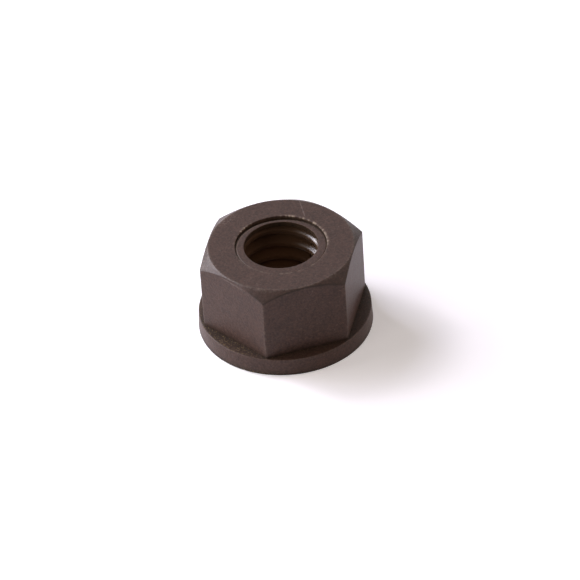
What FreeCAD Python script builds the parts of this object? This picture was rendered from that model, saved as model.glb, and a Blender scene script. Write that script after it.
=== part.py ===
import FreeCAD, Part
import math
import os

# A moulded hexagon flange nut for a 5/16 inch coarse screw, made in one piece.
# It stands on its flange: the origin is the middle of the bearing face and +Z runs up the bore.
# All sizes are in millimetres and degrees.

# Hexagon
across_flats = 12.7
total_height = 8.33
hex_edge_radius = 0.15
top_face_diameter = 12.54
top_chamfer_angle = 35.0
first_corner_angle = -90.0

# Round flange under the hexagon
flange_diameter = 15.16
flange_thickness = 1.64
flange_draft_angle = 3.0
flange_edge_radius = 0.1

# Right-hand thread: 5/16 inch, 18 turns to the inch, 60 degree form
thread_major_diameter = 7.9375
thread_pitch = 25.4 / 18
thread_form_angle = 60.0
thread_start_angle = 65.0

# Mouth of the bore: a shallow round recess, with a level ring in it that sits off the axis.
# Outside the ring the floor falls away, so the recess is deepest on the side that the ring is moved from.
recess_clearance = 0.025
ring_depth = 0.05
ring_diameter = 7.2
ring_offset = 0.4
ring_edge_fall_angle = 21.0
deep_side_angle = 112.0

# Lip between the recess and the first groove of the thread, and the countersink under the flange
lip_height = 0.45
countersink_diameter = 8.4
countersink_angle = 90.0

# How far a cutter runs on past the surface that it opens
overrun = 1.0

UP = FreeCAD.Vector(0, 0, 1)
BASE = FreeCAD.Vector(0, 0, 0)

thread_major_radius = thread_major_diameter / 2
thread_half_angle = math.radians(thread_form_angle / 2)
sharp_thread_height = thread_pitch / 2 / math.tan(thread_half_angle)
thread_minor_radius = thread_major_radius - sharp_thread_height * 5 / 8


def point(radius, height):
    """A point of a section, in the plane through the axis."""
    return FreeCAD.Vector(radius, 0, height)


def turned(section):
    """The solid that a closed section makes when it turns about the axis."""
    face = Part.Face(Part.makePolygon(section + section[:1]))
    return face.revolve(BASE, UP, 360)


def hexagon():
    """The hexagonal prism, with its six upright edges rounded."""
    corner_radius = across_flats / 2 / math.cos(math.pi / 6)
    corners = []
    for k in range(6):
        angle = math.radians(first_corner_angle + 60 * k)
        corners.append(FreeCAD.Vector(corner_radius * math.cos(angle), corner_radius * math.sin(angle), 0))
    prism = Part.Face(Part.makePolygon(corners + corners[:1])).extrude(UP * total_height)
    upright = [edge for edge in prism.Edges if abs(edge.tangentAt(edge.FirstParameter).dot(UP)) > 0.99]
    return prism.makeFillet(hex_edge_radius, upright)


def chamfer_envelope():
    """The cone that trims the hexagon's top corners, with the flat disc left on top."""
    face_radius = top_face_diameter / 2
    outer_radius = across_flats / 2 / math.cos(math.pi / 6) + overrun
    drop = (outer_radius - face_radius) * math.tan(math.radians(top_chamfer_angle))
    return turned([
        point(0, 0),
        point(outer_radius, 0),
        point(outer_radius, total_height - drop),
        point(face_radius, total_height),
        point(0, total_height)])


def flange():
    """The round flange, narrower at its top by the mould's draft, with both rims rounded."""
    foot_radius = flange_diameter / 2
    draft = flange_thickness * math.tan(math.radians(flange_draft_angle))
    disc = turned([
        point(0, 0),
        point(foot_radius, 0),
        point(foot_radius - draft, flange_thickness),
        point(0, flange_thickness)])
    rims = [edge for edge in disc.Edges if isinstance(edge.Curve, Part.Circle)]
    return disc.makeFillet(flange_edge_radius, rims)


def bore():
    """The core of the bore, at the thread's minor radius, as four quarters.

    Each quarter turn of the thread's crest is then a face of its own.
    """
    length = total_height + 2 * overrun
    quarters = []
    for k in range(4):
        quarter = Part.makeCylinder(thread_minor_radius, length, BASE - UP * overrun, UP, 90)
        quarter.rotate(BASE, UP, thread_start_angle + 45 + 90 * k)
        quarters.append(quarter)
    return quarters


def thread_groove():
    """The groove between the crests: a helical sweep from below the bearing face, cut off level under the lip."""
    run_past = 1.5 * thread_pitch
    root_half_width = thread_pitch / 16
    inner_radius = thread_minor_radius - 0.15 * thread_pitch
    inner_half_width = root_half_width + (thread_major_radius - inner_radius) * math.tan(thread_half_angle)
    helix = Part.makeLongHelix(thread_pitch, total_height + 2 * run_past, thread_major_radius, 0)
    groove = [
        point(inner_radius, -inner_half_width),
        point(thread_major_radius, -root_half_width),
        point(thread_major_radius, root_half_width),
        point(inner_radius, inner_half_width)]
    cutter = Part.Wire(helix).makePipeShell([Part.makePolygon(groove + groove[:1])], True, True)
    cutter.translate(UP * -run_past)
    cutter.rotate(BASE, UP, thread_start_angle)
    lip_underside = total_height - ring_depth - lip_height
    above = Part.makeCylinder(thread_major_radius + overrun, lip_height + 2 * run_past, UP * lip_underside)
    return cutter.cut(above)


def mouth_recess():
    """The round recess in the top face, a little wider than the thread, less the ring and its falling edge."""
    ring_radius = ring_diameter / 2
    fall = overrun * math.tan(math.radians(ring_edge_fall_angle))
    ring_height = total_height - ring_depth
    side = math.radians(deep_side_angle)
    centre = FreeCAD.Vector(-ring_offset * math.cos(side), -ring_offset * math.sin(side), 0)
    ring = Part.makeCone(ring_radius + overrun, ring_radius, fall, centre + UP * (ring_height - fall))
    recess = Part.makeCylinder(thread_major_radius + recess_clearance, fall + overrun, UP * (ring_height - fall))
    return recess.cut(ring)


def foot_countersink():
    """The cone that opens the bore at the bearing face."""
    slope = math.tan(math.radians(countersink_angle / 2))
    mouth_radius = countersink_diameter / 2
    return turned([
        point(0, -overrun),
        point(mouth_radius + overrun * slope, -overrun),
        point(0, mouth_radius / slope)])


def nut():
    """The whole nut, as one solid."""
    body = hexagon().common(chamfer_envelope()).fuse(flange())
    for quarter in bore():
        body = body.cut(quarter)
    body = body.cut(mouth_recess())
    body = body.cut(foot_countersink())
    body = body.cut(thread_groove())
    return body.Solids[0]


os.makedirs("parts", exist_ok=True)
shape = nut()
print("nut valid:", shape.isValid(), "solids:", len(shape.Solids), "volume mm3:", round(shape.Volume, 2))
shape.exportStep("parts/nut.step")
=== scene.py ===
import math

import bpy
import numpy as np
from mathutils import Matrix, Vector


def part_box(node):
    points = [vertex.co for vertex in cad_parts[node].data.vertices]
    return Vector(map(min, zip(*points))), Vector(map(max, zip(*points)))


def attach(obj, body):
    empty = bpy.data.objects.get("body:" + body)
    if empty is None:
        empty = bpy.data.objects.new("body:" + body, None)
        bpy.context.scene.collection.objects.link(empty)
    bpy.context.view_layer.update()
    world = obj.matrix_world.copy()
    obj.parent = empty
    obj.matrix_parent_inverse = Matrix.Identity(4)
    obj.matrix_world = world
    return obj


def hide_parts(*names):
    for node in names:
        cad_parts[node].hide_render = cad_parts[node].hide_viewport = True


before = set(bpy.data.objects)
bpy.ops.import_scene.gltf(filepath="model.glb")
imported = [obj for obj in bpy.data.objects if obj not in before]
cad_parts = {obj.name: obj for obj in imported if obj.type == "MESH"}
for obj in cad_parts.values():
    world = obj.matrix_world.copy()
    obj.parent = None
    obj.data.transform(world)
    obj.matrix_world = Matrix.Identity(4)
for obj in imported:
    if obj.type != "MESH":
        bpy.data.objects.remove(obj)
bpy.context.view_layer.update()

# Sizes of the nut, in millimetres and degrees. The height is the frame's.
MM = 0.001
total_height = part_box("nut")[1][2] / MM
across_flats = 12.7
hex_edge_radius = 0.15
top_face_radius = 12.54 / 2
top_chamfer_angle = 35.0
first_corner_angle = -90.0
flange_radius = 15.16 / 2
flange_thickness = 1.64
flange_draft_angle = 3.0
thread_major_radius = 7.9375 / 2
thread_pitch = 25.4 / 18
thread_start_angle = 65.0
thread_minor_radius = thread_major_radius - thread_pitch * 0.625 * math.sqrt(3) / 2
recess_radius = thread_major_radius + 0.025
countersink_radius = 4.2

# The mouth: a level ring round the bore, and outside it a groove that is deepest and widest at deep_side.
# groove_narrowing is how quickly it shrinks away from there, and wall_lean is how far its outer wall leans.
ring_depth = 0.05
groove_depth_least = 0.012
groove_depth_most = 0.36
groove_width_least = 0.1
groove_width_most = 0.57
groove_narrowing = 2.3
deep_side = math.radians(112.0)
wall_lean = 0.05
lip_height = 0.45
ring_height = total_height - ring_depth
lip_underside = ring_height - lip_height

# Burrs along the recess rim: how far they lean in, how much of that they sag, and over what distance.
# Their crumbs have half widths in degrees, and burr_places says where they are thick, in degrees too.
burr_reach = 0.05
burr_sag = 0.25
burr_spread = 0.07
crumb_count = 110
crumb_half_width_least = 0.7
crumb_half_width_most = 2.2
# each place: angle, half width, amount
burr_places = [
    (72.0, 26.0, 1.0),
    (30.0, 22.0, 0.7),
    (162.0, 18.0, 0.9),
    (235.0, 22.0, 0.4),
    (305.0, 30.0, 0.25)]

# Roundings, in millimetres
face_round = 0.1
chamfer_round = 0.06
flange_rim_round = 0.08
flange_base_round = 0.125
crest_round = 0.12
root_round = 0.07
rim_round = 0.035
lip_round = 0.025
ring_edge_round = 0.05
groove_floor_round = 0.03
foot_round = 0.1

# Heights above the flange and below the chamfer over which the mesh is fine
foot_band = 0.5
edge_band = 0.2

# Steps of the mesh
columns_on_flat = 60
columns_on_corner = 10

# Colours of the nylon, of what is on it and of the painted light and shade, as linear red, green, blue and
# alpha
nylon_dark = (0.0290, 0.0163, 0.0127, 1)
nylon_light = (0.0720, 0.0402, 0.0312, 1)
turned_tint = (0.008, 0.003, 0.001, 1)
# The bore is painted a lighter brown than the outside, as painted light deep in the bore; the darker brown is
# painted shade on its most lit walls and its lip.
painted_bore_light = (0.20, 0.115, 0.062, 1)
painted_bore_shade_colour = (0.05, 0.027, 0.0145, 1)
speck_colour = (0.15, 0.115, 0.1, 1)
# pale edges: partly wear, partly a painted highlight along the edges
wear_and_highlight_colour = (0.26, 0.215, 0.18, 1)
fleck_colour = (0.20, 0.155, 0.135, 1)
# dust, together with painted shade, on the flange's top at the front left and along the base's edge
dust_and_shade_colour = (0.030, 0.0165, 0.0075, 1)
# painted shade, with some dirt in the corners: in the corners, along edges, in the recess groove and on the
# bore's lip
shade_and_dirt_colour = (0.010, 0.0055, 0.0022, 1)
grit_colour = (0.21, 0.145, 0.075, 1)
# a painted highlight on the crumbs of the burr along the recess rim
burr_highlight_colour = (0.42, 0.34, 0.26, 1)
# the colour of the scratch at the back, also used for a painted highlight along the chamfer's lower edge on
# the front left
scratch_and_highlight_colour = (0.17, 0.135, 0.125, 1)
floor_colour = (0.855, 0.85, 0.89, 1)
white = (1, 1, 1, 1)

# Tints of the lamps
key_tint = (1.0, 0.95, 0.96)
back_tint = (0.99, 0.99, 1.16)
front_tint = (1.0, 0.93, 0.86)
fill_tint = (1.0, 0.7, 0.55)

# The camera's direction from the nut, in degrees from -Y towards +X
view_azimuth = 14.74


def column_angles():
    """The angles of the mesh's columns: evenly spread on each flat, close together on each rounded corner."""
    half_flat = math.atan((across_flats / 2 - hex_edge_radius) * math.tan(math.pi / 6) / (across_flats / 2))
    edge = math.pi / 6 - half_flat
    angles = []
    for side in range(6):
        corner = math.radians(first_corner_angle + 60 * side)
        for k in range(columns_on_corner):
            angles.append(corner - edge + 2 * edge * k / columns_on_corner)
        for k in range(columns_on_flat):
            angles.append(corner + edge + 2 * half_flat * k / columns_on_flat)
    return np.array(angles)


def hexagon_radius(angle):
    """How far the hexagon's side, with rounded corners, lies from the axis at an angle."""
    half = across_flats / 2
    turn = (np.degrees(angle) - first_corner_angle) % 60
    from_corner = np.radians(np.minimum(turn, 60 - turn))
    on_flat = half / np.cos(math.pi / 6 - from_corner)
    centre = (half - hex_edge_radius) / math.cos(math.pi / 6)
    across = centre * np.sin(from_corner)
    inside = np.maximum(hex_edge_radius ** 2 - across ** 2, 0)
    on_arc = centre * np.cos(from_corner) + np.sqrt(inside)
    tangent = math.atan((half - hex_edge_radius) * math.tan(math.pi / 6) / half)
    return np.where(from_corner < math.pi / 6 - tangent, on_arc, on_flat)


def chamfer_height(radius):
    """The height of the turned chamfer's cone at a radius."""
    return total_height - (radius - top_face_radius) * math.tan(math.radians(top_chamfer_angle))


def rounded(corners, radii, steps, spans):
    """Rows of points along a bent line whose inner corners are rounded.

    Each corner is an array with a (radius, height) row for every column. spans says into how many pieces each
    straight stretch is divided, and steps does so for each rounding.
    """
    rows = []
    ends = [None] * len(corners)
    starts = [None] * len(corners)
    starts[0] = corners[0]
    ends[-1] = corners[-1]
    for i in range(1, len(corners) - 1):
        before = corners[i - 1] - corners[i]
        after = corners[i + 1] - corners[i]
        length_before = np.linalg.norm(before, axis=1, keepdims=True)
        length_after = np.linalg.norm(after, axis=1, keepdims=True)
        before = before / length_before
        after = after / length_after
        cosine = np.clip((before * after).sum(1, keepdims=True), -1, 1)
        half_turn = (math.pi - np.arccos(cosine)) / 2
        reach = radii[i] * np.tan(half_turn)
        reach = np.minimum(reach, 0.45 * np.minimum(length_before, length_after))
        ends[i] = corners[i] + before * reach
        starts[i] = corners[i] + after * reach
    for i in range(len(corners) - 1):
        for k in range(spans[i]):
            rows.append(starts[i] + (ends[i + 1] - starts[i]) * k / spans[i])
        if i + 1 < len(corners) - 1:
            for k in range(steps[i + 1]):
                t = k / steps[i + 1]
                bend = (1 - t) ** 2 * ends[i + 1] + 2 * t * (1 - t) * corners[i + 1] + t ** 2 * starts[i + 1]
                rows.append(bend)
    rows.append(corners[-1])
    return rows


def groove_profile():
    """One pitch of the thread's section as (height, radius), from crest to crest, with its bends rounded."""
    crest = thread_pitch / 8
    root = thread_pitch * 7 / 16
    line = np.array([
        [0, thread_minor_radius],
        [crest, thread_minor_radius],
        [root, thread_major_radius],
        [thread_pitch - root, thread_major_radius],
        [thread_pitch - crest, thread_minor_radius],
        [thread_pitch, thread_minor_radius]])
    radii = [0, crest_round, root_round, root_round, crest_round, 0]
    rows = rounded(line[:, None, :], radii, [0, 3, 3, 3, 3, 0], [1, 3, 1, 3, 1])
    return np.array([row[0] for row in rows])[:-1]


def wall_column(angle, profile):
    """One column of the bore wall, from the countersink's edge up to the lip, as (height, radius, label).

    The groove stops under the lip, so that the lip is a whole circle.
    """
    shift = thread_pitch * (math.degrees(angle) - thread_start_angle) / 360
    column = []
    # twelve turns reach from below the bearing face to above the lip, whatever the shift
    first = -2 - math.floor(shift / thread_pitch)
    for turn in range(first, first + 12):
        for k, (h, r) in enumerate(profile):
            z = h + shift + turn * thread_pitch
            if z > rim_round * 2 and z < lip_underside - 0.01 and r > countersink_radius - z:
                column.append((z, r, turn * len(profile) + k))
    start = (rim_round, countersink_radius - rim_round, "foot")
    low = column[0]
    # where the countersink's cone meets the thread, a little below the first point that lies outside the cone
    run = (low[0] - start[0] + low[1] - start[1]) / 2
    meet = (start[0] + run, start[1] - run, "meet")
    heights = [h for h, r in profile] + [thread_pitch]
    radii = [r for h, r in profile] + [profile[0][1]]
    reach = float(np.interp((lip_underside - shift) % thread_pitch, heights, radii))
    under = [
        (lip_underside, max(reach, thread_minor_radius + 0.012), "under"),
        (lip_underside + 0.01, thread_minor_radius + 0.006, "edge"),
        (lip_underside + 0.03, thread_minor_radius, "inside")]
    return [start, meet] + column + under


def away_from(degrees, middle):
    """How far angles lie from a middle one, from -180 to 180 degrees."""
    return (degrees - middle + 180) % 360 - 180


def fade(distance, width, power=2):
    """1 at no distance, falling smoothly to almost 0 at twice the width, more sharply for a higher power."""
    return np.exp(-(abs(distance) / width) ** power)


def burr_amount(angles):
    """How thick the burr is round the rim: uneven crumbs, thick in the burr places and thin elsewhere."""
    random = np.random.default_rng(11)
    degrees = np.degrees(angles)
    where = np.full(len(angles), 0.06)
    for middle, half_width, amount in burr_places:
        where = np.maximum(where, amount * fade(away_from(degrees, middle), half_width))
    crumbs = np.zeros(len(angles))
    for k in range(crumb_count):
        away = away_from(degrees, random.uniform(0, 360))
        size = random.uniform(0.1, 1) ** 1.5
        half_width = random.uniform(crumb_half_width_least, crumb_half_width_most)
        crumbs = np.maximum(crumbs, size * fade(away, half_width))
    return where * crumbs


def outline_rows(angles):
    """The rows of the mesh from the bore's lip over the top, down the outside and under the flange."""
    ones = np.ones(len(angles))
    side = hexagon_radius(angles)
    side_top = chamfer_height(side)
    flange_top_radius = flange_radius - flange_thickness * math.tan(math.radians(flange_draft_angle))
    deep = (0.5 + 0.5 * np.cos(angles - deep_side)) ** groove_narrowing
    groove_depth = groove_depth_least + (groove_depth_most - groove_depth_least) * deep
    groove_width = groove_width_least + (groove_width_most - groove_width_least) * deep

    def row(radius, height):
        return np.stack([radius * ones, height * ones], 1)

    # each row: corner, its rounding, the rounding's steps, and the pieces of the stretch that follows
    shape = [
        (row(thread_minor_radius, ring_height - 0.08), 0, 0, 1),
        (row(thread_minor_radius, ring_height), lip_round, 3, 3),
        (row(recess_radius - groove_width, ring_height), ring_edge_round, 3, 4),
        (row(recess_radius - wall_lean, ring_height - groove_depth), groove_floor_round, 3, 3),
        (row(recess_radius, total_height), rim_round, 4, 14),
        (row(top_face_radius, total_height), face_round, 4, 3),
        (row(side, side_top), chamfer_round, 4, 3),
        (row(side, side_top - edge_band), 0, 0, 12),
        (row(side, flange_thickness + foot_band), 0, 0, 7),
        (row(side, flange_thickness), 0, 0, 7),
        (row(flange_top_radius, flange_thickness), flange_rim_round, 4, 7),
        (row(flange_radius, 0), flange_base_round, 5, 14),
        (row(countersink_radius, 0), foot_round, 3, 1),
        (row(countersink_radius - rim_round, rim_round), 0, 0, 0)]
    corners, radii, steps, spans = zip(*shape)
    rows = rounded(corners, radii, steps, spans)
    lean = burr_reach * burr_amount(angles)
    for points in rows:
        from_rim = np.hypot(points[:, 0] - recess_radius, (points[:, 1] - total_height) * 0.8)
        near = fade(from_rim, burr_spread)
        points[:, 0] -= lean * near
        points[:, 1] -= burr_sag * lean * near
    return rows


def label_matches(left, right, lap):
    """The places in two neighbouring chains that have the same label, as pairs in rising order."""
    where = {}
    for n, (vertex, label, place) in enumerate(right):
        where[label if isinstance(label, str) else label - lap] = n
    matches = []
    last = -1
    for m, (vertex, label, place) in enumerate(left):
        n = where.get(label)
        if n is not None and n > last:
            matches.append((m, n))
            last = n
    return matches


def knitted(left, right, lap):
    """The faces between two neighbouring chains: four-sided where labels match, triangles in between."""
    faces = []
    matches = label_matches(left, right, lap)
    for (m0, n0), (m1, n1) in zip(matches[:-1], matches[1:]):
        if m1 - m0 == 1 and n1 - n0 == 1:
            faces.append((left[m0][0], left[m1][0], right[n1][0], right[n0][0]))
            continue
        m, n = m0, n0
        while m < m1 or n < n1:
            step_left = math.dist(left[m + 1][2], right[n][2]) if m < m1 else math.inf
            step_right = math.dist(left[m][2], right[n + 1][2]) if n < n1 else math.inf
            if step_left <= step_right:
                faces.append((left[m][0], left[m + 1][0], right[n][0]))
                m += 1
            else:
                faces.append((left[m][0], right[n + 1][0], right[n][0]))
                n += 1
    return faces


def nut_mesh():
    """The nut's closed mesh: rings over the outside, and the bore's wall knitted from column to column."""
    angles = column_angles()
    count = len(angles)
    rows = outline_rows(angles)
    profile = groove_profile()
    points = []
    faces = []

    def add(angle, radius, height):
        points.append((radius * math.cos(angle) * MM, radius * math.sin(angle) * MM, height * MM))
        return len(points) - 1

    rings = [[add(angles[i], row[i][0], row[i][1]) for i in range(count)] for row in rows]
    for upper, lower in zip(rings[:-1], rings[1:]):
        for i in range(count):
            j = (i + 1) % count
            faces.append((upper[i], lower[i], lower[j], upper[j]))
    outside_faces = len(faces)

    # each chain holds one column of the wall as (vertex, label, (height, radius))
    chains = []
    for i in range(count):
        column = wall_column(angles[i], profile)
        chain = [(rings[-1][i], "foot", column[0][:2])]
        for h, r, label in column[1:]:
            chain.append((add(angles[i], r, h), label, (h, r)))
        chain.append((rings[0][i], "lip", (rows[0][i][1], rows[0][i][0])))
        chains.append(chain)
    for i in range(count):
        j = (i + 1) % count
        # past the last column the thread is one pitch further on
        lap = len(profile) if j == 0 else 0
        faces.extend(knitted(chains[i], chains[j], lap))

    mesh = bpy.data.meshes.new("nut_body")
    mesh.from_pydata(points, [], faces)
    mesh.validate()
    for polygon in mesh.polygons:
        polygon.use_smooth = True
        polygon.material_index = int(polygon.index >= outside_faces)
    mesh.set_sharp_from_angle(angle=math.radians(40))
    mark_surface(mesh, np.array(points) / MM)
    mesh.update()
    return mesh


def facing_up(mesh):
    """How far the surface faces up at each point, from 0 to 1."""
    normals = np.zeros(len(mesh.vertices) * 3)
    mesh.vertices.foreach_get("normal", normals)
    return np.clip(normals[2::3] / 0.8, 0, 1)


def edge_marks(angle, radius, height):
    """Marks for pale edges that are partly wear and partly painted highlight, the turned chamfer, the pale
    flecks on it and the painted highlight on the crumbs of the recess rim's burr.
    """
    degrees = np.degrees(angle)
    side = hexagon_radius(angle)
    from_rim = np.hypot(radius - recess_radius, height - total_height)
    rim = 0.1 * fade(from_rim, 0.06)
    face_edge = fade(np.hypot(radius - top_face_radius, height - total_height), 0.09)
    upright = fade(side - across_flats / math.sqrt(3) + 0.02, 0.06)
    upright = upright * (abs(radius - side) < 0.03) * (height > flange_thickness + 0.1)
    flange_edge = fade(np.hypot(radius - flange_radius + 0.09, height - flange_thickness), 0.09)
    # the edges are paler, partly from wear and partly as a painted highlight
    wear_and_painted_highlight = np.clip(rim + 0.35 * face_edge + 0.15 * upright + 0.15 * flange_edge, 0, 1)

    turned = (abs(height - chamfer_height(radius)) < 0.03) & (radius > top_face_radius + 0.02)
    on_top = height > total_height - 0.3
    on_face = fade(away_from(degrees, 154), 10) * fade(radius - 6.1, 0.45) * on_top
    on_chamfer = 0.5 * turned * fade(away_from(degrees, 207), 10)
    # a painted highlight on the burr's crumbs round the rim
    painted_burr_highlight = fade(from_rim, 0.09) * np.clip(burr_amount(angle) * 1.6, 0, 1)
    return {"wear_and_painted_highlight": wear_and_painted_highlight, "turned": turned, "scraped": np.maximum(on_face, on_chamfer), "painted_burr_highlight": painted_burr_highlight}


def shade_and_dust_marks(angle, radius, height, lip):
    """Marks for painted shade, with some dirt, in the corners, for painted shade along the edges, in the
    groove and on the lip, and for the dust and painted shade on the flange.
    """
    degrees = np.degrees(angle)
    side = hexagon_radius(angle)
    on_flat = (abs(radius - side) < 0.01) & (height >= flange_thickness - 0.001)
    on_flange = (abs(height - flange_thickness) < 0.01) & (radius >= side)
    on_base = radius > flange_radius - 0.3
    front_left = fade(away_from(degrees, 228), 32, 4)
    # painted shade, with some dirt, where the flats meet the flange, widest at the front left
    corner = on_flat * fade(height - flange_thickness, 0.3, 1.5)
    corner = np.maximum(corner, on_flange * fade(radius - side, 0.4 + 0.35 * front_left, 1.5))
    # painted contact shadow along the flange's bottom edge
    base_edge = on_base * fade(height - 0.1, 0.24)
    # dust and painted shade on the flange's top, most at the front left, and along the foot of the flange at
    # the front
    ragged = fade(away_from(degrees, 262), 20, 4)
    dust_and_painted_shade = np.maximum(on_flange * (0.35 + 0.65 * front_left), ragged * on_base * fade(height - 0.14, 0.2))

    # painted shade in the recess groove under the rim
    groove = (radius > recess_radius - 0.3) * (radius < recess_radius + 0.01)
    groove = groove * np.clip((ring_height - height) / 0.1, 0, 1) * (height > total_height - 0.6)
    # painted shade along the chamfer's lower edge, strongest on the front right
    shaded_side = np.cos(np.radians(2 * np.clip(away_from(degrees, -60), -45, 45))) ** 0.3
    line = (abs(radius - side) < 0.03) * fade(height - chamfer_height(radius) + 0.04, 0.09)
    line = line * (0.1 + 0.9 * shaded_side)
    # all of the painted shade, with some dirt in the corners
    painted_shade_and_dirt = np.clip(corner + base_edge + 0.5 * groove + line + lip, 0, 1)
    return {"painted_shade_and_dirt": painted_shade_and_dirt, "dust_and_painted_shade": dust_and_painted_shade}


def bore_marks(angle, radius, height, facing):
    """Marks for the bore, its lip, its rubbed side, the painted shade on its up-facing flanks, crests and
    lip, and the turn of the thread.
    """
    bore = np.clip((ring_height - height) / 0.05, 0, 1) * (radius < recess_radius - 0.02) * (height > 0.05)
    lip = bore * (height > lip_underside)
    under_lip = np.clip((lip_underside - height) / 0.05, 0, 1)
    rubbed_side = fade(away_from(np.degrees(angle), 57), 21, 4)
    rubbed = bore * rubbed_side * under_lip * fade(total_height - height, 3.2, 6)
    crest = np.clip(1 - (radius - thread_minor_radius - 0.02) / 0.12, 0, 1)
    deep = np.clip((6.9 - height) / 1.8, 0, 1) * np.clip((height - 1.5) / 1.0, 0, 1)
    # painted shade on the flanks that face up, on the crests and on the lip, weaker deep down
    bore_painted_shade = bore * (1 - 0.6 * deep) * np.maximum(facing, np.maximum(crest, lip))
    phase = 2 * math.pi * height / thread_pitch - angle
    return {
        "bore": bore,
        "lip": lip,
        "rubbed": rubbed,
        "bore_painted_shade": bore_painted_shade,
        "phase_sine": np.sin(phase),
        "phase_cosine": np.cos(phase)}


def mark_surface(mesh, points):
    """Writes the marks at each point of the mesh, for the material to use. points are in millimetres."""
    angle = np.arctan2(points[:, 1], points[:, 0])
    radius = np.hypot(points[:, 0], points[:, 1])
    height = points[:, 2]
    marks = bore_marks(angle, radius, height, facing_up(mesh))
    lip = marks.pop("lip")
    marks.update(edge_marks(angle, radius, height))
    marks.update(shade_and_dust_marks(angle, radius, height, lip))
    for name, values in marks.items():
        attribute = mesh.attributes.new(name, "FLOAT", "POINT")
        attribute.data.foreach_set("value", values.astype(np.float32))


class Painter:
    """Adds nodes to a material, with coordinates in millimetres."""

    def __init__(self, material):
        material.use_nodes = True
        self.nodes = material.node_tree.nodes
        self.links = material.node_tree.links
        self.shader = self.nodes["Principled BSDF"]
        place = self.nodes.new("ShaderNodeTexCoord")
        scale = self.nodes.new("ShaderNodeVectorMath")
        scale.operation = "SCALE"
        scale.inputs["Scale"].default_value = 1 / MM
        self.links.new(place.outputs["Object"], scale.inputs[0])
        self.place = scale.outputs[0]

    def put(self, socket, value):
        """Gives a socket a value, or a link where the value is another node's output."""
        if isinstance(value, bpy.types.NodeSocket):
            self.links.new(value, socket)
        else:
            socket.default_value = value

    def math(self, operation, first, second=0.0):
        node = self.nodes.new("ShaderNodeMath")
        node.operation = operation
        self.put(node.inputs[0], first)
        self.put(node.inputs[1], second)
        return node.outputs[0]

    def vector(self, operation, first, second):
        node = self.nodes.new("ShaderNodeVectorMath")
        node.operation = operation
        self.put(node.inputs[0], first)
        self.put(node.inputs[1], second)
        return node.outputs["Value"] if operation in ("DOT_PRODUCT", "DISTANCE") else node.outputs["Vector"]

    def spread(self, value, low, high, to_low=0.0, to_high=1.0):
        """The value moved from one range to another, and held there."""
        node = self.nodes.new("ShaderNodeMapRange")
        self.put(node.inputs["Value"], value)
        node.inputs["From Min"].default_value = low
        node.inputs["From Max"].default_value = high
        node.inputs["To Min"].default_value = to_low
        node.inputs["To Max"].default_value = to_high
        return node.outputs["Result"]

    def noise(self, per_mm, detail, shift):
        """Noise with about so many spots a millimetre. A shift of its own makes it differ from the rest."""
        node = self.nodes.new("ShaderNodeTexNoise")
        self.links.new(self.vector("ADD", self.place, (shift, 2 * shift, 3 * shift)), node.inputs["Vector"])
        node.inputs["Scale"].default_value = per_mm
        node.inputs["Detail"].default_value = detail
        node.inputs["Roughness"].default_value = 0.6
        return node.outputs["Fac"]

    def fine_lines(self):
        """Fine lines that run along the thread."""
        node = self.nodes.new("ShaderNodeCombineXYZ")
        self.links.new(self.mark("phase_sine"), node.inputs["X"])
        self.links.new(self.mark("phase_cosine"), node.inputs["Y"])
        lines = self.nodes.new("ShaderNodeTexNoise")
        self.links.new(node.outputs[0], lines.inputs["Vector"])
        lines.inputs["Scale"].default_value = 5.0
        lines.inputs["Detail"].default_value = 3
        return self.spread(lines.outputs["Fac"], 0.4, 0.6)

    def mark(self, name):
        """A mark that the mesh holds."""
        node = self.nodes.new("ShaderNodeAttribute")
        node.attribute_name = name
        return node.outputs["Fac"]

    def mix(self, amount, first, second):
        node = self.nodes.new("ShaderNodeMix")
        node.data_type = "RGBA"
        self.put(node.inputs["Factor"], amount)
        self.put(node.inputs["A"], first)
        self.put(node.inputs["B"], second)
        return node.outputs["Result"]

    def laid_over(self, colour, where, strength, top):
        """The colour with another laid over it, at a strength, where a mark is."""
        return self.mix(self.math("MULTIPLY", where, strength), colour, top)

    def stroke(self, start, end, width):
        """A soft straight line between two points, that wavers a little."""
        start = Vector(start)
        end = Vector(end)
        along = (end - start).normalized()
        offset = self.vector("SUBTRACT", self.place, tuple(start))
        run = self.vector("DOT_PRODUCT", offset, tuple(along))
        run = self.math("MINIMUM", self.math("MAXIMUM", run, 0.0), (end - start).length)
        scale = self.nodes.new("ShaderNodeVectorMath")
        scale.operation = "SCALE"
        scale.inputs[0].default_value = tuple(along)
        self.links.new(run, scale.inputs["Scale"])
        away = self.vector("DISTANCE", offset, scale.outputs[0])
        waver = self.spread(self.noise(2.5, 2, 40), 0.3, 0.7, -width, width)
        return self.spread(self.math("ADD", away, waver), 0.4 * width, 1.6 * width, 1.0, 0.0)


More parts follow.
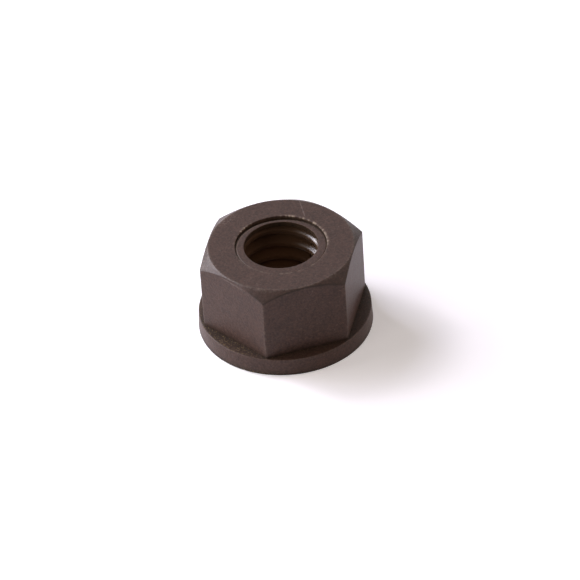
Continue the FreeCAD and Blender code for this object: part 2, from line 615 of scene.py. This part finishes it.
def nylon_material(name, specular):
    """Dark warm grey moulded nylon: fine grain, pale specks, pale edges of wear and painted highlight,
    painted shade and some dirt in corners, dust and painted shade on the flange, and a bore painted lighter
    brown with painted shade on its lit walls.

    The rubbed side of the thread has a clear coat with fine lines, and specular is the shine of the rest.
    """
    material = bpy.data.materials.new(name)
    paint = Painter(material)
    bore = paint.mark("bore")
    turned = paint.mark("turned")
    rubbed = paint.mark("rubbed")
    dust_and_painted_shade = paint.mark("dust_and_painted_shade")
    lines = paint.fine_lines()
    outside = paint.math("SUBTRACT", 1.0, bore)

    grain = paint.noise(5.0, 3, 0)
    blotch = paint.spread(paint.noise(0.55, 3, 17), 0.3, 0.7, -0.09, 0.09)
    cloud = paint.spread(paint.noise(1.6, 2, 31), 0.3, 0.7, -0.08, 0.08)
    shade = paint.math("ADD", paint.spread(grain, 0.3, 0.7, -0.45, 0.45), blotch)
    shade = paint.math("ADD", shade, cloud)
    colour = paint.mix(paint.math("ADD", shade, 0.5), nylon_dark, nylon_light)
    colour = paint.laid_over(colour, turned, 0.25, turned_tint)
    # the bore is painted lighter brown as painted light, then darkened by painted shade on its most lit walls
    # and its lip
    colour = paint.mix(bore, colour, painted_bore_light)
    colour = paint.laid_over(colour, paint.mark("bore_painted_shade"), 0.95, painted_bore_shade_colour)

    specks = paint.spread(paint.noise(6.5, 2, 53), 0.62, 0.72)
    colour = paint.laid_over(colour, paint.math("MULTIPLY", specks, outside), 0.28, speck_colour)
    # pale edges, partly wear and partly a painted highlight, broken up by noise
    broken = paint.spread(paint.noise(5.0, 3, 71), 0.42, 0.6, 0.15, 1.0)
    edges = paint.math("MULTIPLY", paint.mark("wear_and_painted_highlight"), broken)
    colour = paint.laid_over(colour, edges, 0.6, wear_and_highlight_colour)
    flecks = paint.math("MULTIPLY", paint.spread(paint.noise(6.0, 3, 137), 0.5, 0.62), paint.mark("scraped"))
    colour = paint.laid_over(colour, flecks, 0.55, fleck_colour)

    # painted shade, with some dirt in the corners, broken into patches
    patches = paint.spread(paint.noise(3.0, 3, 89), 0.3, 0.65, 0.55, 1.0)
    shade_and_dirt_amount = paint.math("MULTIPLY", paint.mark("painted_shade_and_dirt"), patches)
    # dust and painted shade on the flange
    colour = paint.laid_over(colour, dust_and_painted_shade, 0.5, dust_and_shade_colour)
    colour = paint.laid_over(colour, shade_and_dirt_amount, 0.9, shade_and_dirt_colour)
    grit = paint.spread(paint.noise(6.5, 2, 113), 0.54, 0.64)
    colour = paint.laid_over(colour, paint.math("MULTIPLY", dust_and_painted_shade, grit), 0.45, grit_colour)

    # painted highlight on the burr's crumbs round the recess rim
    colour = paint.laid_over(colour, paint.mark("painted_burr_highlight"), 0.85, burr_highlight_colour)
    scratch = paint.stroke((0.24, 6.27, 8.33), (1.18, 4.2, 8.33), 0.035)
    colour = paint.laid_over(colour, scratch, 0.45, scratch_and_highlight_colour)
    # a painted highlight along the chamfer's lower edge on the front-left flat
    painted_edge_highlight = paint.stroke((-4.04, -5.0, 8.08), (-2.03, -6.16, 7.96), 0.06)
    colour = paint.laid_over(colour, painted_edge_highlight, 0.3, scratch_and_highlight_colour)
    paint.put(paint.shader.inputs["Base Color"], colour)

    rough = paint.spread(grain, 0.3, 0.7, 0.42, 0.5)
    rough = paint.math("ADD", rough, paint.math("MULTIPLY", bore, 0.22))
    rough = paint.math("SUBTRACT", rough, paint.math("MULTIPLY", turned, 0.05))
    rough = paint.math("ADD", rough, paint.math("MULTIPLY", shade_and_dirt_amount, 0.12))
    paint.put(paint.shader.inputs["Roughness"], rough)
    paint.shader.inputs["Specular IOR Level"].default_value = specular
    shine = paint.math("MULTIPLY", rubbed, paint.math("ADD", paint.math("MULTIPLY", lines, 0.8), 0.2))
    paint.put(paint.shader.inputs["Coat Weight"], shine)
    paint.shader.inputs["Coat Roughness"].default_value = 0.2
    paint.shader.inputs["Coat IOR"].default_value = 1.6

    height = paint.math("ADD", paint.noise(5.5, 4, 7), paint.math("MULTIPLY", paint.noise(1.4, 2, 23), 0.8))
    height = paint.math("MULTIPLY", height, paint.math("ADD", paint.math("MULTIPLY", outside, 0.7), 0.3))
    height = paint.math("ADD", height, paint.math("MULTIPLY", lines, rubbed))
    bump = paint.nodes.new("ShaderNodeBump")
    bump.inputs["Strength"].default_value = 0.8
    bump.inputs["Distance"].default_value = 0.03 * MM
    paint.put(bump.inputs["Height"], height)
    paint.put(paint.shader.inputs["Normal"], bump.outputs["Normal"])
    return material


def make_nut():
    """The nut, with one material on its outside and one in its bore."""
    mesh = nut_mesh()
    mesh.materials.append(nylon_material("frosted_nylon", 0.225))
    mesh.materials.append(nylon_material("bore_nylon", 0.12))
    nut = bpy.data.objects.new("nut_body", mesh)
    bpy.context.scene.collection.objects.link(nut)
    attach(nut, "root")
    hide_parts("nut")


def make_camera():
    """The photograph's view of the nut, on a long lens."""
    azimuth = math.radians(view_azimuth)
    elevation = 0.674263
    roll = -0.066124
    distance = 28.245 * across_flats
    focal = 4167.3
    frame_width = 580
    shift_right = 0.04786 * across_flats
    shift_up = -0.10844 * across_flats
    aim_height = 0.4 * across_flats
    level = math.cos(elevation)
    back = Vector((math.sin(azimuth) * level, -math.cos(azimuth) * level, math.sin(elevation)))
    right = Vector((math.cos(azimuth), math.sin(azimuth), 0))
    up = back.cross(right)
    right_rolled = math.cos(roll) * right + math.sin(roll) * up
    up_rolled = -math.sin(roll) * right + math.cos(roll) * up
    target = Vector((0, 0, aim_height)) + shift_right * right_rolled + shift_up * up_rolled
    place = (target + distance * back) * MM
    data = bpy.data.cameras.new("camera")
    data.sensor_width = 36
    data.lens = data.sensor_width * focal / frame_width
    data.clip_start = 0.01
    data.clip_end = 10
    camera = bpy.data.objects.new("camera", data)
    bpy.context.scene.collection.objects.link(camera)
    camera.matrix_world = Matrix((
        (right_rolled.x, up_rolled.x, back.x, place.x),
        (right_rolled.y, up_rolled.y, back.y, place.y),
        (right_rolled.z, up_rolled.z, back.z, place.z),
        (0, 0, 0, 1)))
    bpy.context.scene.camera = camera


def seen_directly(nodes, links):
    """A factor that is 1 for rays from the camera and for mirrored and refracted rays, and 0 for the rest."""
    path = nodes.new("ShaderNodeLightPath")
    first = nodes.new("ShaderNodeMath")
    first.operation = "MAXIMUM"
    links.new(path.outputs["Is Camera Ray"], first.inputs[0])
    links.new(path.outputs["Is Glossy Ray"], first.inputs[1])
    second = nodes.new("ShaderNodeMath")
    second.operation = "MAXIMUM"
    links.new(first.outputs[0], second.inputs[0])
    links.new(path.outputs["Is Transmission Ray"], second.inputs[1])
    return second.outputs[0]


def make_floor():
    """A wide white floor that keeps the nut's shadow. It lies just under the bearing face."""
    size = 0.6
    level = -0.02 * MM
    mesh = bpy.data.meshes.new("floor")
    corners = [(-size, -size, level), (size, -size, level), (size, size, level), (-size, size, level)]
    mesh.from_pydata(corners, [], [(0, 1, 2, 3)])
    floor = bpy.data.objects.new("floor", mesh)
    bpy.context.scene.collection.objects.link(floor)
    material = bpy.data.materials.new("floor")
    material.use_nodes = True
    shader = material.node_tree.nodes["Principled BSDF"]
    shader.inputs["Base Color"].default_value = floor_colour
    shader.inputs["Roughness"].default_value = 0.9
    shader.inputs["Emission Color"].default_value = white
    links = material.node_tree.links
    glow = material.node_tree.nodes.new("ShaderNodeMath")
    glow.operation = "MULTIPLY"
    glow.inputs[1].default_value = 0.35
    links.new(seen_directly(material.node_tree.nodes, links), glow.inputs[0])
    links.new(glow.outputs[0], shader.inputs["Emission Strength"])
    mesh.materials.append(material)


def make_world():
    """A white surround that only the camera and reflections see."""
    world = bpy.data.worlds.new("world")
    bpy.context.scene.world = world
    world.use_nodes = True
    background = world.node_tree.nodes["Background"]
    background.inputs["Color"].default_value = white
    links = world.node_tree.links
    links.new(seen_directly(world.node_tree.nodes, links), background.inputs["Strength"])


def area_light(name, from_right, elevation, size, energy, tint):
    """A square soft light that faces the nut, with its direction given in degrees from the camera's right."""
    turn = math.radians(view_azimuth + from_right)
    rise = math.radians(elevation)
    direction = Vector((math.cos(turn) * math.cos(rise), math.sin(turn) * math.cos(rise), math.sin(rise)))
    data = bpy.data.lights.new(name, "AREA")
    data.shape = "SQUARE"
    data.size = size
    data.energy = energy
    data.color = tint
    light = bpy.data.objects.new(name, data)
    light.location = direction * 0.25
    light.rotation_euler = direction.to_track_quat("Z", "Y").to_euler()
    bpy.context.scene.collection.objects.link(light)


make_camera()
make_nut()
make_floor()
make_world()
area_light("left", from_right=180, elevation=18, size=0.13, energy=0.425, tint=key_tint)
area_light("back_left", from_right=146, elevation=41, size=0.15, energy=0.52, tint=back_tint)
area_light("back_left_small", from_right=150, elevation=44, size=0.04, energy=0.115, tint=key_tint)
area_light("back_left_low", from_right=142, elevation=24, size=0.05, energy=0.12, tint=key_tint)
area_light("front_top", from_right=270, elevation=48, size=0.1, energy=0.046, tint=fill_tint)
area_light("front_left", from_right=225, elevation=18, size=0.13, energy=0.165, tint=front_tint)
area_light("right", from_right=0, elevation=18, size=0.13, energy=0.2, tint=fill_tint)
bpy.context.scene.view_settings.view_transform = "Standard"
